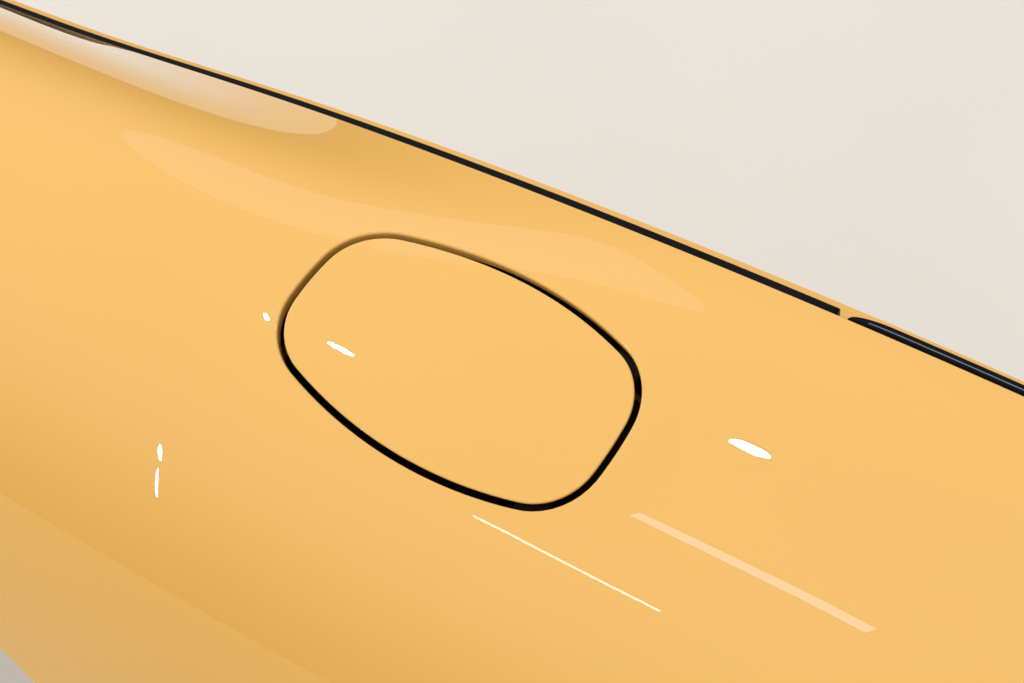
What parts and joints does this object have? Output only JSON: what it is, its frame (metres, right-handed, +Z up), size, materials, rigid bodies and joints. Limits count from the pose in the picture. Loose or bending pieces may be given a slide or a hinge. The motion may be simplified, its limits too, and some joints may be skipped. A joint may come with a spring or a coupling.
{
  "type": "left front wing with hinged fuel filler flap for a rear-engined coupe",
  "caption": "Painted steel front wing of a coupe: wheel arch, headlamp seat, bonnet rail, and a hinged filler flap over a bowl with neck and turning cap.",
  "frame": {"origin": "middle of the line of bolt holes on the rear flange, level with its rear face, where the wing is bolted to the door post", "axes": "+X rearwards along the car, normal to the rear flange; +Y inboard, towards the car's centreline; +Z up"},
  "size_m": [1.3294, 0.4038, 0.6736],
  "materials": {
    "paint": "warm pastel yellow solid paint under gloss clearcoat",
    "liner_plastic": "black moulded liner",
    "rubber": "black rubber",
    "plated_steel": "zinc plated",
    "black_plastic": "satin black"
  },
  "bodies": {
    "wing": {"wing_skin": "paint", "arch_lip": "paint", "bonnet_rail": "paint", "rear_flange": "paint", "sill_flange": "paint", "lamp_panel": "paint", "lamp_ring": "paint", "headlamp_bowl": "paint", "flap_rebate": "paint", "filler_bowl": "paint", "arch_liner": "liner_plastic", "neck_grommet": "rubber", "cowl_seal": "rubber", "buffer_outboard": "rubber", "buffer_inboard": "rubber", "filler_neck": "plated_steel", "hinge_bracket": "plated_steel", "hinge_pin": "plated_steel", "buffer_shelf_outboard": "paint", "buffer_shelf_inboard": "paint", "latch_housing": "black_plastic", "drain_spout": "liner_plastic"},
    "flap": {"flap_skin": "paint", "flap_inner": "paint", "hinge_arm": "plated_steel", "flap_striker": "plated_steel"},
    "cap": {"filler_cap": "black_plastic"}
  },
  "joints": [
    {"name": "flap_hinge", "type": "hinge", "parent": "wing", "child": "flap", "pos_m": [-0.44344, 0.1482, 0.34904], "axis": [-0.0715, -0.9342, -0.3495], "range_deg": [0, 85]},
    {"name": "cap_turn", "type": "hinge", "parent": "wing", "child": "cap", "pos_m": [-0.31478, 0.15692, 0.29942], "axis": [-0.0048, -0.3501, 0.9367], "range_deg": [0, 90]}
  ]
}
